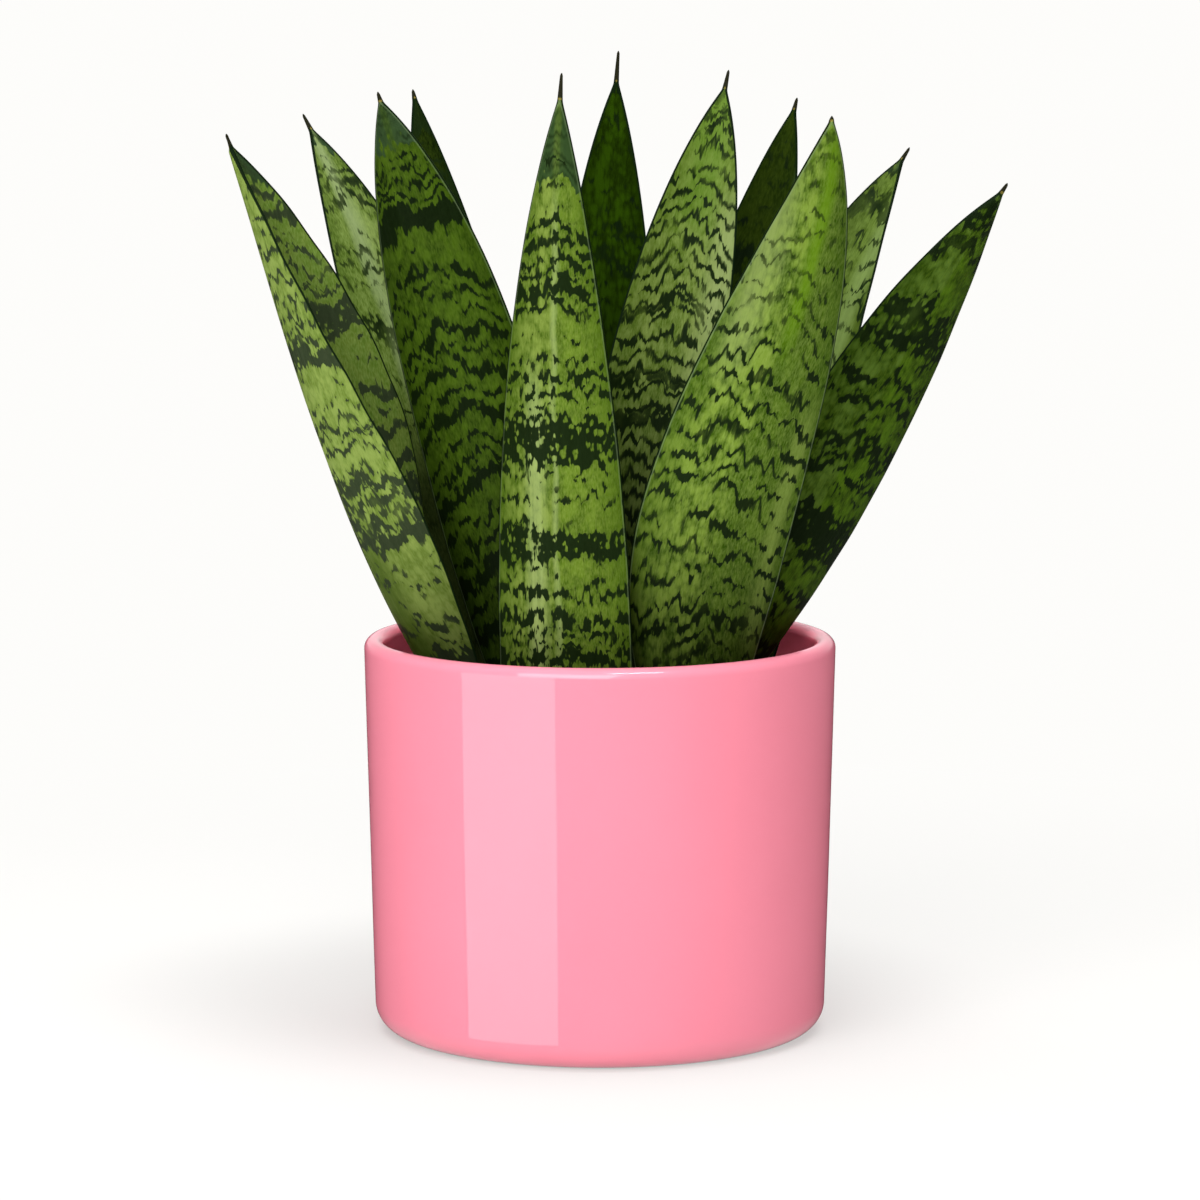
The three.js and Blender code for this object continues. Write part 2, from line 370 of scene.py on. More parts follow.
def pot_profile():
    """The pot's outline from the middle of the base, up the outside, over the rim and down the
    inside to the middle of its floor."""
    lip = WALL / 2
    inner_foot = FOOT_RADIUS - WALL
    foot = arc(FOOT_RADIUS - FOOT_ROUND, FOOT_ROUND, FOOT_ROUND, -90, 0, FOOT_STEPS)
    rim = arc(POT_RADIUS - lip, POT_HEIGHT - lip, lip, 0, 180, RIM_STEPS)
    well = arc(inner_foot - INNER_ROUND, FLOOR + INNER_ROUND, INNER_ROUND, 0, -90, WELL_STEPS)
    outside = line_to(foot[-1], rim[0], OUTSIDE_STEPS)
    inside = line_to(rim[-1], well[0], INSIDE_STEPS)
    return np.concatenate([foot, outside, rim, inside, well])


pot = closed_piece("glazed_pot", turned(pot_profile(), POT_UNEVEN, seed=4))
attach(pot, "root")
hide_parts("pot")

# %% [markdown]
# The soil is a dark potting mix. Its solid fills the pot up to 22 millimetres under the rim,
# with shallow lumps. The finer surface here keeps those lumps and adds clods and crumbs: a
# polar grid whose top is raised by waves of two lengths and by over a thousand low domes, and
# whose rows run on down the pot's wall, so that the piece is closed.

# %% The soil's surface
SOIL_RINGS = 110
SOIL_AROUND = 360
RING_EASE = 0.8  # below 1 packs the rings towards the wall
CLODS = [(11, 0.7, 9.0, 40), (12, 0.3, 3.6, 60)]  # seed, height, wavelength and count of waves
CRUMBS = 1400
CRUMB_SIZES = (0.9, 3.2)
CRUMB_DOME = 0.8  # height of a crumb beside its radius
CRUMB_CLEAR = 2.5  # from a crumb's middle to the soil's edge, at least
CRUMB_SINK = 0.7
SEAT_STEPS = 6
WALL_FADE = 12.0  # the larger, the nearer to the wall the clods and crumbs reach


def soil_height(x, y):
    """Height of the soil: its level plus shallow lumps that die away at the wall."""
    away = 1 - np.minimum(1, np.hypot(x, y) / soil_radius())
    lumps = np.sin(x / 7 + 1) * np.cos(y / 9) + 0.6 * np.sin(x / 13 - y / 11)
    return SOIL_TOP + SOIL_SWELL * lumps * np.minimum(1, 4 * away)


def soil_radius():
    """The pot's inside radius at the soil's level, on its straight stretch."""
    low, high = FLOOR + INNER_ROUND, POT_HEIGHT - WALL / 2
    share = (SOIL_TOP - low) / (high - low)
    return FOOT_RADIUS - WALL + share * (POT_RADIUS - FOOT_RADIUS)


def strewn(count, clear, draw):
    """Points [x, y] strewn evenly over the soil, no nearer than clear to its edge."""
    angle = draw.uniform(0, 2 * np.pi, count)
    radius = (soil_radius() - clear) * np.sqrt(draw.uniform(0, 1, count))
    return np.stack([radius * np.cos(angle), radius * np.sin(angle)], axis=1)


def crumbs_over(flat, draw):
    """How far round crumbs raise the soil: each is a dome over its middle, as high as
    sqrt(1 - distance^2 / radius^2), and the highest one counts. Most crumbs are small: a
    radius is least + spread * chance squared."""
    least, greatest = CRUMB_SIZES
    raised = np.zeros(flat.shape[:-1])
    sizes = least + (greatest - least) * draw.uniform(0, 1, CRUMBS) ** 2
    for middle, size in zip(strewn(CRUMBS, CRUMB_CLEAR, draw), sizes):
        near = 1 - np.sum((flat - middle) ** 2, axis=-1) / size**2
        raised = np.maximum(raised, CRUMB_DOME * size * np.sqrt(np.clip(near, 0, 1)))
    return raised


def soil_points():
    """The soil as a turned grid: the top from its middle outwards, raised to its lumps,
    clods and crumbs, then the side down to the pot's floor."""
    edge = soil_radius() - SEAT_GAP
    ring = edge * np.linspace(0.004, 1, SOIL_RINGS) ** RING_EASE
    top = np.stack([ring, np.full(SOIL_RINGS, SOIL_TOP)], axis=1)
    foot = FOOT_RADIUS - WALL - SEAT_GAP
    base = FLOOR + INNER_ROUND + SEAT_GAP
    well = arc(foot - INNER_ROUND, base, INNER_ROUND, 0, -90, SEAT_STEPS)
    points = turned(np.concatenate([top, well]), 0.0, seed=1, around=SOIL_AROUND)
    flat = points[:SOIL_RINGS, :, :2]
    clods = sum(height * waves(flat, seed, length, count) for seed, height, length, count in CLODS)
    crumbs = crumbs_over(flat, np.random.default_rng(13)) - CRUMB_SINK
    fade = np.clip((1 - ring / edge) * WALL_FADE, 0, 1)[:, None]
    points[:SOIL_RINGS, :, 2] = soil_height(flat[..., 0], flat[..., 1]) + (clods + crumbs) * fade
    return points


soil = closed_piece("potting_soil", soil_points())
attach(soil, "root")
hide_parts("soil")

# %% [markdown]
# On top lie bits that are too sharp-edged for the grid: chips of bark, and pale grit that
# keeps the mix open. Each bit is a ball of 20 faces, squashed, turned and sunk to its middle
# in the soil, and all bits of a kind are one piece.

# %% Bark and grit on the soil
BITS_CLEAR = 5.0  # from a bit's middle to the soil's edge, at least
BITS_TILT = 0.35  # radians
BITS_SPREAD = (0.75, 1.25)


def strewn_bits(name, count, sizes, shape, lift, seed):
    """One mesh of small bits on the soil. sizes are the least and greatest half lengths, shape
    is how long, wide and high a bit is beside that, and lift its middle over the soil."""
    draw = np.random.default_rng(seed)
    work = bmesh.new()
    for x, y in strewn(count, BITS_CLEAR, draw):
        size = draw.uniform(*sizes) * np.array(shape) * draw.uniform(*BITS_SPREAD, 3)
        turn = Euler(draw.uniform(-1, 1, 3) * (BITS_TILT, BITS_TILT, np.pi))
        height = soil_height(x, y) + lift
        made = Matrix.LocRotScale(Vector((x, y, height)) * MM, turn, Vector(size * MM))
        bmesh.ops.create_icosphere(work, subdivisions=1, radius=1.0, matrix=made)
    mesh = bpy.data.meshes.new(name)
    work.to_mesh(mesh)
    work.free()
    bits = bpy.data.objects.new(name, mesh)
    bpy.context.scene.collection.objects.link(bits)
    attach(bits, "root")
    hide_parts("soil")
    print(f"{name}: {count} bits, {len(mesh.polygons)} faces")
    return bits


bark = strewn_bits("bark_chips", 110, (1.6, 4.0), (1.0, 0.5, 0.3), 1.0, seed=51)
grit = strewn_bits("pale_grit", 90, (0.6, 1.4), (1.0, 0.9, 0.8), 1.1, seed=52)

# %% [markdown]
# A leaf is a thick blade that is folded along its keel into a shallow channel. It is
# described by its keel line, which passes four points in plan and rises evenly, by its width
# along that line, and by how its skin is bent from the keel out to the margin. Each leaf has
# a plain record of such measures.

# %% The eleven leaves
LEAF_SINK = 12.0  # how deep a leaf's foot stands in the soil
TIP_FULLNESS = 0.85  # the smaller, the blunter the blade's end
MARGIN_THICKNESS = 0.9
SPINE_WIDTH = 1.5
SPINE_TAPER = 0.65  # share of its width that the spine loses up to its point
THINNING = 0.6  # share of its thickness that the blade loses up to its tip
STOUTNESS = 1.6  # greatest thickness for each millimetre of half width


def leaf(path, top, width, foot, widest, taper, spine, turn, fold, keel, thickness=5.0):
    """One leaf's measures. path is four [x, y] points of the keel line: on the soil, at a
    third, at two thirds and at the tip, and top is the tip's height. width is the skin's
    greatest width, at the share widest of the height, and foot is the share of it at the
    soil. The larger taper, the later the blade narrows, and spine is the length of its hard
    point. turn is its bearing, 0 with its back to the front and 180 with its channel, and
    fold the slope of its skin at the margins, both in degrees at the foot, the middle and
    the tip. The smaller keel, the sharper the crease, and thickness is the blade's on it."""
    return SimpleNamespace(path=path, top=top, width=width, foot=foot, widest=widest,
                           taper=taper, spine=spine, turn=turn, fold=fold, keel=keel,
                           thickness=thickness)


LEAVES = {
    "leaf_front_middle": leaf([[-12, -44], [-13.5, -50], [-14, -57], [-11.5, -66]], 306.5,
                              46, 0.96, 0.1, 1.9, 8, [-14, -14, -14], [30, 28, 24], 0.5),
    "leaf_front_left": leaf([[-45, -13], [-76, -24], [-96, -36], [-114, -50]], 287.5,
                            64, 0.44, 0.42, 1.5, 4, [-66, -100, -122], [44, 62, 60], 0.3),
    "leaf_front_right": leaf([[30, -36], [37, -46], [56.5, -59], [69.5, -76]], 294,
                             51, 0.58, 0.32, 1.9, 1.5, [4, 8, 14], [28, 26, 24], 0.6),
    "leaf_far_right": leaf([[32, 0], [64, -5], [94, -12], [126.5, -22]], 271,
                           38, 0.5, 0.45, 2.1, 3, [14, 16, 22], [26, 26, 24], 0.6),
    "leaf_left_broad": leaf([[-19, -22], [-32.5, -28], [-49.5, -34], [-68, -42]], 300,
                            43, 0.58, 0.4, 2.6, 3, [-8, -12, -14], [26, 26, 24], 0.6),
    "leaf_left_dark": leaf([[-20, 22], [-33, 30], [-47, 39], [-60.5, 50]], 297.5,
                           29, 0.6, 0.4, 2.1, 3, [188, 188, 188], [22, 22, 22], 0.7, 4.5),
    "leaf_left_rear": leaf([[-36, 14], [-50, 20], [-68.5, 29], [-95.5, 40]], 290,
                           36, 0.5, 0.45, 2.1, 5, [196, 196, 196], [24, 24, 24], 0.7, 4.5),
    "leaf_rear_middle": leaf([[0, 30], [1, 38], [2.5, 49], [6, 62]], 309.5,
                             35, 0.6, 0.4, 2.1, 10, [180, 180, 180], [26, 26, 26], 0.7, 4.5),
    "leaf_right_pale": leaf([[4, 6], [13, 12], [26.5, 18], [41, 26]], 304.5,
                            38, 0.6, 0.4, 2.6, 6, [178, 178, 178], [24, 24, 24], 0.7, 4.5),
    "leaf_right_dark": leaf([[24, 36], [33, 46], [48, 58], [64.5, 72]], 294,
                            34, 0.6, 0.4, 2.1, 4, [172, 172, 172], [24, 24, 24], 0.7, 4.5),
    "leaf_right_rear": leaf([[44, 18], [55, 28], [71.5, 41], [100.5, 56]], 278.5,
                            36, 0.5, 0.45, 2.1, 4, [162, 162, 162], [26, 26, 26], 0.5, 4.5),
}

# %% [markdown]
# The leaf's surface is a grid too. One parameter runs up the leaf, close together near the
# tip, and the other runs once round the blade: over its back from margin to margin, then
# back across its channel. Each point also notes where it is on the blade, in millimetres
# across from the keel, up above the soil and in from the margin, because the dark
# cross-bands follow the blade and not the room.

# %% A leaf's surface
LEAF_ROWS = 220
HALF_COLUMNS = 14
STEP_EASE = 1.5  # above 1 packs the rows towards the tip
EDGE_POWER = 30.0  # the larger, the smaller the rounding of the margin
END_ROUND = 0.004  # share of the height over which the tip closes
MARGIN_WAVE = 0.22  # height of the slow ripple along the margins
WAVE_LENGTH = 24.0
WAVE_WIDTH = 12.0  # half width of the blade from which the ripple has its full height


def through(values, share):
    """The smooth curve through values that are spread evenly from share 0 to 1: the
    polynomial of the lowest order that passes them all."""
    count = len(values)
    factors = np.polyfit(np.linspace(0, 1, count), np.asarray(values, float), count - 1)
    powers = share[:, None] ** np.arange(count - 1, -1, -1)
    return powers @ factors


def keel_line(shape, share):
    """Points of the keel line at shares of the leaf's height."""
    flat = through(shape.path, share)
    height = SOIL_TOP + (shape.top - SOIL_TOP) * share
    return np.column_stack([flat, height])


def unit(vectors):
    """The same directions at length 1."""
    return vectors / np.linalg.norm(vectors, axis=-1, keepdims=True)


def keel_direction(shape, share, step=0.002):
    """The way in which the keel line runs: the difference of two points close to each other."""
    return unit(keel_line(shape, share + step) - keel_line(shape, share - step))


def width_share(shape, along):
    """Half width as a share of the widest: it swells from the foot along a parabola, then
    narrows as 1 minus a power of the way to the tip."""
    below = 1 - np.clip(along, 0, None) / shape.widest
    swell = shape.foot + (1 - shape.foot) * (1 - below**2)
    beyond = np.clip((along - shape.widest) / (1 - shape.widest), 0, 1)
    narrow = (1 - beyond**shape.taper) ** TIP_FULLNESS
    return np.where(along < shape.widest, swell, narrow)


def skin_slope(fold, keel, shares):
    """Slope of the skin, in radians, at shares s of the way from the keel to the margin:
    fold * s * sqrt(1 + keel^2) / sqrt(s^2 + keel^2). It is level on the keel and the full
    fold at the margin, and a small keel makes the crease between them sharp."""
    return fold[:, None] * shares * math.hypot(1, keel) / np.hypot(shares, keel)


def skin_line(half_width, fold, keel, shares):
    """The skin's middle line, from the keel out to one margin, as (across, deep) for each row:
    the running sums of cos and sin of its slope."""
    slope = skin_slope(fold, keel, (shares[1:] + shares[:-1]) / 2)
    steps = half_width[:, None] * np.diff(shares)
    start = np.zeros((len(half_width), 1))
    across = np.concatenate([start, np.cumsum(np.cos(slope) * steps, axis=1)], axis=1)
    deep = np.concatenate([start, np.cumsum(np.sin(slope) * steps, axis=1)], axis=1)
    return across, deep


def blade_axes(shape, along, rise):
    """The keel line's points at shares along the leaf, and the two ways square to it: across
    the blade and into its channel. In the soil, where a share is negative, the line runs
    straight on. rise is how steeply it starts, 1 for upright."""
    share = np.clip(along, 0, None)
    way = keel_direction(shape, share)
    sunk = np.minimum(0, along) * (shape.top - SOIL_TOP) / rise
    centre = keel_line(shape, share) + way * sunk[:, None]
    heading = np.radians(through(shape.turn, share))
    level = np.column_stack([np.cos(heading), np.sin(heading), np.zeros(len(along))])
    across_way = unit(level - way * np.sum(level * way, axis=1, keepdims=True))
    return centre, across_way, np.cross(way, across_way)


def blade_girth(shape, along):
    """Half width, thickness on the keel and thickness at the margin, at shares along the leaf.
    The half width is sqrt(blade^2 + point^2), so that the blade runs out into its hard point,
    and all three close over the last END_ROUND of the height."""
    blade_end = 1 - shape.spine / (shape.top - SOIL_TOP)
    pointed = np.clip((along - blade_end) / (1 - blade_end), 0, 1)
    point = SPINE_WIDTH / 2 * (1 - SPINE_TAPER * pointed)
    blade = shape.width / 2 * width_share(shape, np.minimum(1, along / blade_end))
    rounded = np.sqrt(np.clip((1.0 - along) / END_ROUND, 1e-4, 1))
    half_width = np.hypot(blade, point) * rounded
    thinned = shape.thickness * (1 - THINNING * np.clip(along, 0, None))
    thick = np.maximum(np.minimum(thinned, STOUTNESS * half_width), MARGIN_THICKNESS) * rounded
    return half_width, thick, MARGIN_THICKNESS * rounded


def leaf_points(shape, seed):
    """Points of shape (rows, columns, 3) and the blade measures of each, in millimetres:
    across from the keel, up above the soil and in from the margin."""
    height = shape.top - SOIL_TOP
    rise = keel_direction(shape, np.zeros(1))[0, 2]
    below = -LEAF_SINK * rise / height
    along = below + (1 - below) * (1 - (1 - np.linspace(0, 1, LEAF_ROWS)) ** STEP_EASE)
    centre, across_way, deep_way = blade_axes(shape, along, rise)
    half_width, thick, margin = blade_girth(shape, along)

    out = np.sin(np.linspace(0, np.pi / 2, HALF_COLUMNS + 1))
    fold = np.radians(through(shape.fold, np.clip(along, 0, None)))
    slope = skin_slope(fold, shape.keel, out)
    across, deep = skin_line(half_width, fold, shape.keel, out)
    ease = np.sqrt(1 - out**EDGE_POWER)
    half = (margin[:, None] + (thick - margin)[:, None] * (1 - out**2)) / 2 * ease
    ripple = MARGIN_WAVE * waves(np.column_stack([along * height, along * 0]), seed, WAVE_LENGTH)
    deep = deep + ripple[:, None] * out**2 * np.minimum(1, half_width / WAVE_WIDTH)[:, None]

    def face(side, columns):
        """One face of the blade at these signed columns, the back for side -1, the channel
        for 1: the skin's middle line plus side * half the thickness, square to its slope."""
        sign, place = np.sign(columns), np.abs(columns)
        off = side * half[:, place]
        sideways = sign * (across[:, place] - off * np.sin(slope[:, place]))
        inwards = deep[:, place] + off * np.cos(slope[:, place])
        moved = across_way[:, None] * sideways[..., None] + deep_way[:, None] * inwards[..., None]
        noted = np.stack([half_width[:, None] * out[place] * sign,
                          np.broadcast_to((along * height)[:, None], sideways.shape),
                          half_width[:, None] * (1 - out[place])], axis=-1)
        return centre[:, None] + moved, noted

    columns = np.arange(-HALF_COLUMNS, HALF_COLUMNS + 1)
    back_spots, back_notes = face(-1, columns)
    channel_spots, channel_notes = face(1, columns[-2:0:-1])
    spots = np.concatenate([back_spots, channel_spots], axis=1)
    notes = np.concatenate([back_notes, channel_notes], axis=1)
    return spots, notes


blades = {}
for number, (name, shape) in enumerate(LEAVES.items()):
    spots, notes = leaf_points(shape, seed=30 + number)
    blade = closed_piece(name.replace("leaf", "blade"), spots, {"blade": notes}, flat_ends=False)
    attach(blade, "root")
    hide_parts(name)
    blades[name] = blade

# %% [markdown]
# The glaze is a thick clear-looking pink coat over a light body. Its colour drifts a little
# where the coat is thicker or thinner, its surface is glossy with the faintest ripple, and it
# stops short of the face that the pot stands on, because a glazed foot would stick to the
# kiln's shelf. So the underside is bare clay. One material paints both, by the height and the
# radius of the point. Inside the pot, light is thrown from wall to wall and takes up more of
# the pink each time, so the upper inside wall is painted a deeper rose, as painted bounce light.

# %% Pink glaze over bare clay
PINKS = [(0.715, 0.206, 0.275), (0.740, 0.226, 0.300)]
PINK_SPECK = (0.75, 0.16, 0.22)
# painted bounce light: the deeper rose of the upper inside wall, and below it the radii and heights between
# which it is painted
PINK_INSIDE = (0.98, 0.16, 0.24)
CLAYS = [(0.66, 0.52, 0.43), (0.74, 0.61, 0.51)]
INSIDE_RADII = (68.6, 70.4)  # between them, on the rim, the inside's rose begins
INSIDE_HEIGHTS = (20.0, 100.0)  # between them the rose deepens
BARE_RADII = (65.2, 65.8)  # between them, under the foot, the glaze begins
BARE_HEIGHTS = (0.15, 0.35)
GLOSS_ROUGHNESS = 0.16
CLAY_ROUGHNESS = 0.76
COAT = 0.8
RIPPLE_HEIGHT = 0.00004  # metres, as all heights of bumps


def glaze_finish():
    """Pink gloss with slow drift and ripple, and bare matt clay under the foot."""
    glaze = Finish("pink_glaze", Coat_Roughness=0.03, Coat_IOR=1.5, Specular_IOR_Level=0.0)
    spot = x, y, z = glaze.place()
    drift = glaze.noise(spot, (45.0, 45.0, 60.0))
    ripple = glaze.noise(spot, (16.0, 16.0, 22.0), detail=1.0)
    specks = glaze.noise(spot, 1.4, detail=1.0)
    radius = (x * x + y * y) ** 0.5
    # painted bounce light: 1 on the upper inside wall, where the deeper rose is painted
    inside = (1 - radius.rise(*INSIDE_RADII)) * z.rise(*INSIDE_HEIGHTS)
    bare = (1 - z.rise(*BARE_HEIGHTS)) * (1 - (radius + specks * 0.3).rise(*BARE_RADII))
    pink = glaze.blend(drift * 0.5 + 0.5, *PINKS)
    pink = glaze.blend(specks.rise(0.55, 0.8) * 0.06, pink, PINK_SPECK)
    pink = glaze.blend(inside, pink, PINK_INSIDE)
    glaze.set("Base Color", glaze.blend(bare, pink, glaze.blend(specks * 0.5 + 0.5, *CLAYS)))
    rougher = bare * (CLAY_ROUGHNESS - GLOSS_ROUGHNESS)
    glaze.set("Roughness", rougher + drift * 0.015 + GLOSS_ROUGHNESS)
    glaze.set("Coat Weight", COAT - bare * COAT)
    glaze.set("Normal", glaze.bump(ripple + specks * bare, RIPPLE_HEIGHT))
    return glaze.material


def paint(piece, material):
    """Gives a piece its material, and prints the size of the material's graph."""
    piece.data.materials.append(material)
    print(f"{piece.name}: {material.name}, {len(material.node_tree.nodes)} nodes")


paint(pot, glaze_finish())

# %% [markdown]
# Potting soil is peat with crumbs of bark and a little pale grit. From above it is nearly
# black. Each crumb has its own brown, the hollows between crumbs are darker still, and short
# fibres show as pale flecks. Bark chips and grit have a plain finish of their own, with a fine
# grain and a tone that differs from bit to bit.

# %% Potting soil
PEATS = [(0.012, 0.008, 0.006), (0.105, 0.066, 0.042)]
HOLLOW = (0.005, 0.0035, 0.003)
FIBRE = (0.26, 0.19, 0.12)
CRUMB_WIDTH = 1.7
BARKS = [(0.030, 0.014, 0.007), (0.110, 0.056, 0.028)]
GRITS = [(0.36, 0.33, 0.28), (0.62, 0.59, 0.52)]


def soil_finish():
    """Dark crumbly peat: brown crumbs with black edges, and pale flecks of fibre."""
    earth = Finish("potting_soil", roughness=0.95)
    spot = x, y, _ = earth.place()
    cloud = earth.noise(spot, 6.0, detail=3.0)
    tone = earth.noise(spot, 1.6, detail=4.0, roughness=0.7)
    fine = earth.noise(spot, 0.5)
    edges = earth.lumps(x / CRUMB_WIDTH + tone * 0.3, y / CRUMB_WIDTH + fine * 0.15)
    brown = earth.blend(tone * 1.6 + cloud * 0.8 + 0.4, *PEATS)
    brown = earth.blend(edges.rise(0.35, 0.75) * 0.8, brown, HOLLOW)
    earth.set("Base Color", earth.blend(fine.rise(0.45, 0.6) * 0.6, brown, FIBRE))
    earth.set("Normal", earth.bump(tone + fine * 0.4 - edges, 0.0009))
    return earth.material


def bits_finish(name, tones, grain_length):
    """Bark or grit: dull, with a fine grain along x and a tone that differs between bits."""
    bit = Finish(name, roughness=0.9)
    spot = bit.place()
    tone = bit.noise(spot, 5.0, detail=0.0)
    grain = bit.noise(spot, (grain_length, 0.3, 0.3))
    bit.set("Base Color", bit.blend(tone + grain * 0.5 + 0.5, *tones))
    bit.set("Normal", bit.bump(grain, 0.0002))
    return bit.material


paint(soil, soil_finish())
paint(bark, bits_finish("bark", BARKS, 1.5))
paint(grit, bits_finish("grit", GRITS, 0.3))

# %% [markdown]
# A leaf's colours follow its blade, so its finish starts from the three measures that were
# noted at each point. Nearly all of them are also moved by drifts: cloudy noise of a few
# sizes, from fine grain to slow waves, and mostly longer along the veins than across them.

# %% Where a point is on its leaf
# Each drift has its length across and along the blade in millimetres, its seed and its detail.
DRIFTS = {
    "wander": (16.0, 30.0, 0.0, 1.0),
    "zigzag": (4.5, 14.0, 3.0, 1.0),
    "fringe": (0.8, 7.0, 5.0, 1.0),
    "breakup": (5.0, 5.5, 7.0, 2.0),
    "faint": (7.0, 9.0, 19.0, 1.0),
    "grain": (0.45, 1.5, 13.0, 2.0),
    "streaks": (1.6, 50.0, 15.0, 2.0),
    "cloud": (6.0, 22.0, 17.0, 2.0),
    "blotch": (4.5, 6.0, 21.0, 3.0),
}


class Skin(Finish):
    """One leaf's finish. It knows where a point is on the blade, in millimetres: x across from
    the keel, reach without its sign, y up above the soil and edge in from the margin. out is 0
    on the keel and 1 at the margin, and share is 0 at the soil and 1 at the tip."""

    def __init__(self, name, look, shape, seed):
        super().__init__(name, Specular_IOR_Level=look.sheen)
        self.look = look
        self.seed = seed
        self.height = shape.top - SOIL_TOP
        self.spine_base = self.height - shape.spine + 1.5
        point = self.node("Attribute", {"attribute_name": "blade"}, output=1)
        self.x, self.y, self.edge = self.parts(point)
        self.reach = abs(self.x)
        self.out = self.reach / (self.reach + self.edge).most(0.2)
        self.share = self.y / self.height
        self.grain = self.drift("grain")
        self.streaks = self.drift("streaks")
        self.cloud = self.drift("cloud")

    def drift(self, kind):
        """Cloudy noise of this kind over the blade, between -1 and 1."""
        across, along, own_seed, detail = DRIFTS[kind]
        return self.noise((self.x, self.y, self.seed + own_seed), (across, along, 1.0), detail)


# %% [markdown]
# A bowstring hemp's leaf is banded: dark, almost black-green marks on a lighter green. Close
# up, the light green is made of small rounded patches that stretch along the veins, about 2
# millimetres wide and 4 long. Where marking is faint they run together, where it is stronger
# only their corners show as dark flecks, in a bar they are left as light islands, and a
# bar's edge is scalloped by them. So a level of darkness is worked out first, from listed
# bars and from broken cross lines, and the distance to the nearest patch's centre is added.
# The mark is wherever the sum passes one half.

# %% Bars and cross lines
RAMPS = 4
BAR_SOFTNESS = 1.6
LINE_SWING = 0.3


def bar_levels(skin, place, bars):
    """How dark the listed bars make this place, from 0 up to each bar's strength. Neighbours
    go on different ramps, so that their soft ends may overlap."""
    level = None
    ordered = sorted(bars)
    for first in range(RAMPS):
        stops = [(0.0, 0.0)]
        for middle, breadth, strength in ordered[first::RAMPS]:
            soft = min(BAR_SOFTNESS, 0.4 * breadth)
            low, high = middle - breadth / 2, middle + breadth / 2
            ends = [(low - soft, 0.0), (low + soft, strength), (high - soft, strength), (high + soft, 0.0)]
            stops += [(min(max(end, 0.0), skin.height) / skin.height, amount) for end, amount in ends]
        stops.append((1.0, 0.0))
        ramp = skin.node("ValToRGB", {"stops": stops}, {"Fac": place / skin.height})
        level = ramp if level is None else level.most(ramp)
    return level


def cross_lines(skin, place, gap, thick, seed):
    """Broken cross lines in rows that are gap apart. Each row has its own waviness and its
    own breaks. The level falls from 1 on the line to 0 at twice thick beside it."""
    look = skin.look
    rows = place / gap
    row = rows.maths("FLOOR", rows)
    wave = skin.noise((skin.x, row * 5.3, seed + 11.0), (look.reach, 1.0, 1.0), detail=1.0)
    breaks = skin.noise((skin.x, row * 7.7, seed + 12.0), (look.reach * 1.6, 1.0, 1.0), detail=1.0)
    beside = abs(rows - row - 0.5 - wave * LINE_SWING) * gap
    line = 1.0 - (beside / (2.0 * thick)).least(1.0)
    return line * breaks.rise(look.gaps - 0.35, look.gaps + 0.35)


# %% [markdown]
# On most leaves the bars and lines aren't level: they arch up or down from the keel to both
# margins, each half in its own way, and near the tip many bend to a peak. They also wander
# and zigzag. So a mark is looked up not at the point's own height but at one that is bent in
# the same way.

# %% Marks on a leaf
FRAY = 2.2  # how far the edges of marks fray along the veins
MEAN_LUMP = 0.42  # what lumps() gives on average
SPECK_SIZE = (0.8, 2.0)
SPECK_DEPTH = 0.22
GRAIN_DEPTH = 0.05


def mark_height(skin, fringe):
    """The height that counts for the marks: y + slope * |x| + wander + zigzag + fray."""
    left, right = skin.look.arch
    slope = skin.x.rise(-0.3, 0.3) * (right - left) + left
    slope = slope + skin.share.rise(*skin.look.bend) * skin.look.peak
    wander = skin.drift("wander") * skin.look.wander
    zigzag = skin.drift("zigzag") * skin.look.zigzag
    return skin.y + slope * skin.reach + wander + zigzag + fringe * FRAY


def leaf_marks(skin):
    """What the marks need at a point: the height that counts for them, how dark it is there,
    which is in a mark where it is over one half, the distance to the middle of the patch, and
    how strong the mark's ink is."""
    look = skin.look
    fringe = skin.drift("fringe")
    place = mark_height(skin, fringe)
    level = bar_levels(skin, place, look.bars)
    if look.left_bars:
        left_level = bar_levels(skin, place, look.left_bars)
        level = left_level + (level - left_level) * skin.x.rise(-0.6, 0.6)
    lines = cross_lines(skin, place, look.gap, look.thick, skin.seed)
    level = level.most(lines * (1.0 - skin.share.rise(0.35, 0.95) * look.fade) * look.lines)

    wide, tall = look.patch
    lobes = skin.lumps(skin.x / wide + fringe * 0.4 + skin.seed, (skin.y + fringe) / tall)
    wide, tall = SPECK_SIZE
    specks = skin.lumps(skin.x / wide + skin.seed, (skin.y + fringe) / tall)
    dark = level * (1.0 + skin.drift("breakup") * look.breakup) + (lobes - MEAN_LUMP) * look.lobes
    dark = dark + (specks - MEAN_LUMP) * SPECK_DEPTH + skin.grain * GRAIN_DEPTH
    ink = look.ink + skin.drift("faint") * 0.7 + (level - 0.6) * 0.8
    ink = ink - skin.share.rise(0.5, 1.0) * look.fade
    return SimpleNamespace(place=place, dark=dark, lobes=lobes, ink=ink.most(0.3).least(1.0))


# %% [markdown]
# The skin between the marks is a green that drifts in clouds and in stripes along the veins,
# with a fine lengthwise grain. Towards the margins, where the blade turns away from the light,
# it is painted deeper, as painted shade. Some leaves have paler or deeper stripes along the
# blade, of which the pale greyish ones are painted highlights and painted light where the blade
# faces the lamps, and near the tip some have a dusky veil in which only ghosts of the cross
# lines show.

# %% Green between the marks
FLANK = (0.45, 1.0)
STRIPE_FADE = 12.0
VEIL_FADE = 0.7
VEIL_FRAY = 6.0
GHOST_GAP = 3.6
GHOST_THICK = 0.7


